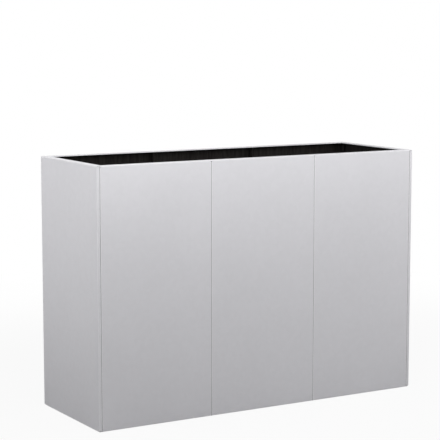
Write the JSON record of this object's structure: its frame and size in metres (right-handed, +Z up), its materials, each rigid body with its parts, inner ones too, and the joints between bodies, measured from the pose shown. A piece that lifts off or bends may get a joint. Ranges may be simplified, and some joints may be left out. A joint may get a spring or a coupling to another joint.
{
  "type": "planter",
  "caption": "Long, tall rectangular planter folded from galvanised steel sheet, with a hemmed rim, bolted seams, tie bars and drained floor trays.",
  "frame": {"origin": "middle of the underside, on the ground", "axes": "+X along the length, +Y from the front long side to the back one, +Z up"},
  "size_m": [1.16, 0.4, 0.8],
  "materials": {
    "galvanised_sheet": "satin galvanised sheet, inner faces with a near-black protective coat",
    "galvanised_tray": "satin galvanised sheet",
    "galvanised_bar": "satin galvanised flat bar",
    "zinc_plated_fastener": "bright zinc plate"
  },
  "bodies": {
    "root": {"end_panel_left": "galvanised_sheet", "end_panel_right": "galvanised_sheet", "front_panel_left": "galvanised_sheet", "front_panel_centre": "galvanised_sheet", "front_panel_right": "galvanised_sheet", "back_panel_left": "galvanised_sheet", "back_panel_centre": "galvanised_sheet", "back_panel_right": "galvanised_sheet", "floor_tray_left": "galvanised_tray", "floor_tray_centre": "galvanised_tray", "floor_tray_right": "galvanised_tray", "tie_bar_left_lower": "galvanised_bar", "tie_bar_left_upper": "galvanised_bar", "tie_bar_right_lower": "galvanised_bar", "tie_bar_right_upper": "galvanised_bar", "front_bolts_corner_left": "zinc_plated_fastener", "front_bolts_left": "zinc_plated_fastener", "front_bolts_right": "zinc_plated_fastener", "front_bolts_corner_right": "zinc_plated_fastener", "back_bolts_corner_left": "zinc_plated_fastener", "back_bolts_left": "zinc_plated_fastener", "back_bolts_right": "zinc_plated_fastener", "back_bolts_corner_right": "zinc_plated_fastener", "front_nuts_corner_left": "zinc_plated_fastener", "front_nuts_left": "zinc_plated_fastener", "front_nuts_right": "zinc_plated_fastener", "front_nuts_corner_right": "zinc_plated_fastener", "back_nuts_corner_left": "zinc_plated_fastener", "back_nuts_left": "zinc_plated_fastener", "back_nuts_right": "zinc_plated_fastener", "back_nuts_corner_right": "zinc_plated_fastener"}
  },
  "joints": []
}
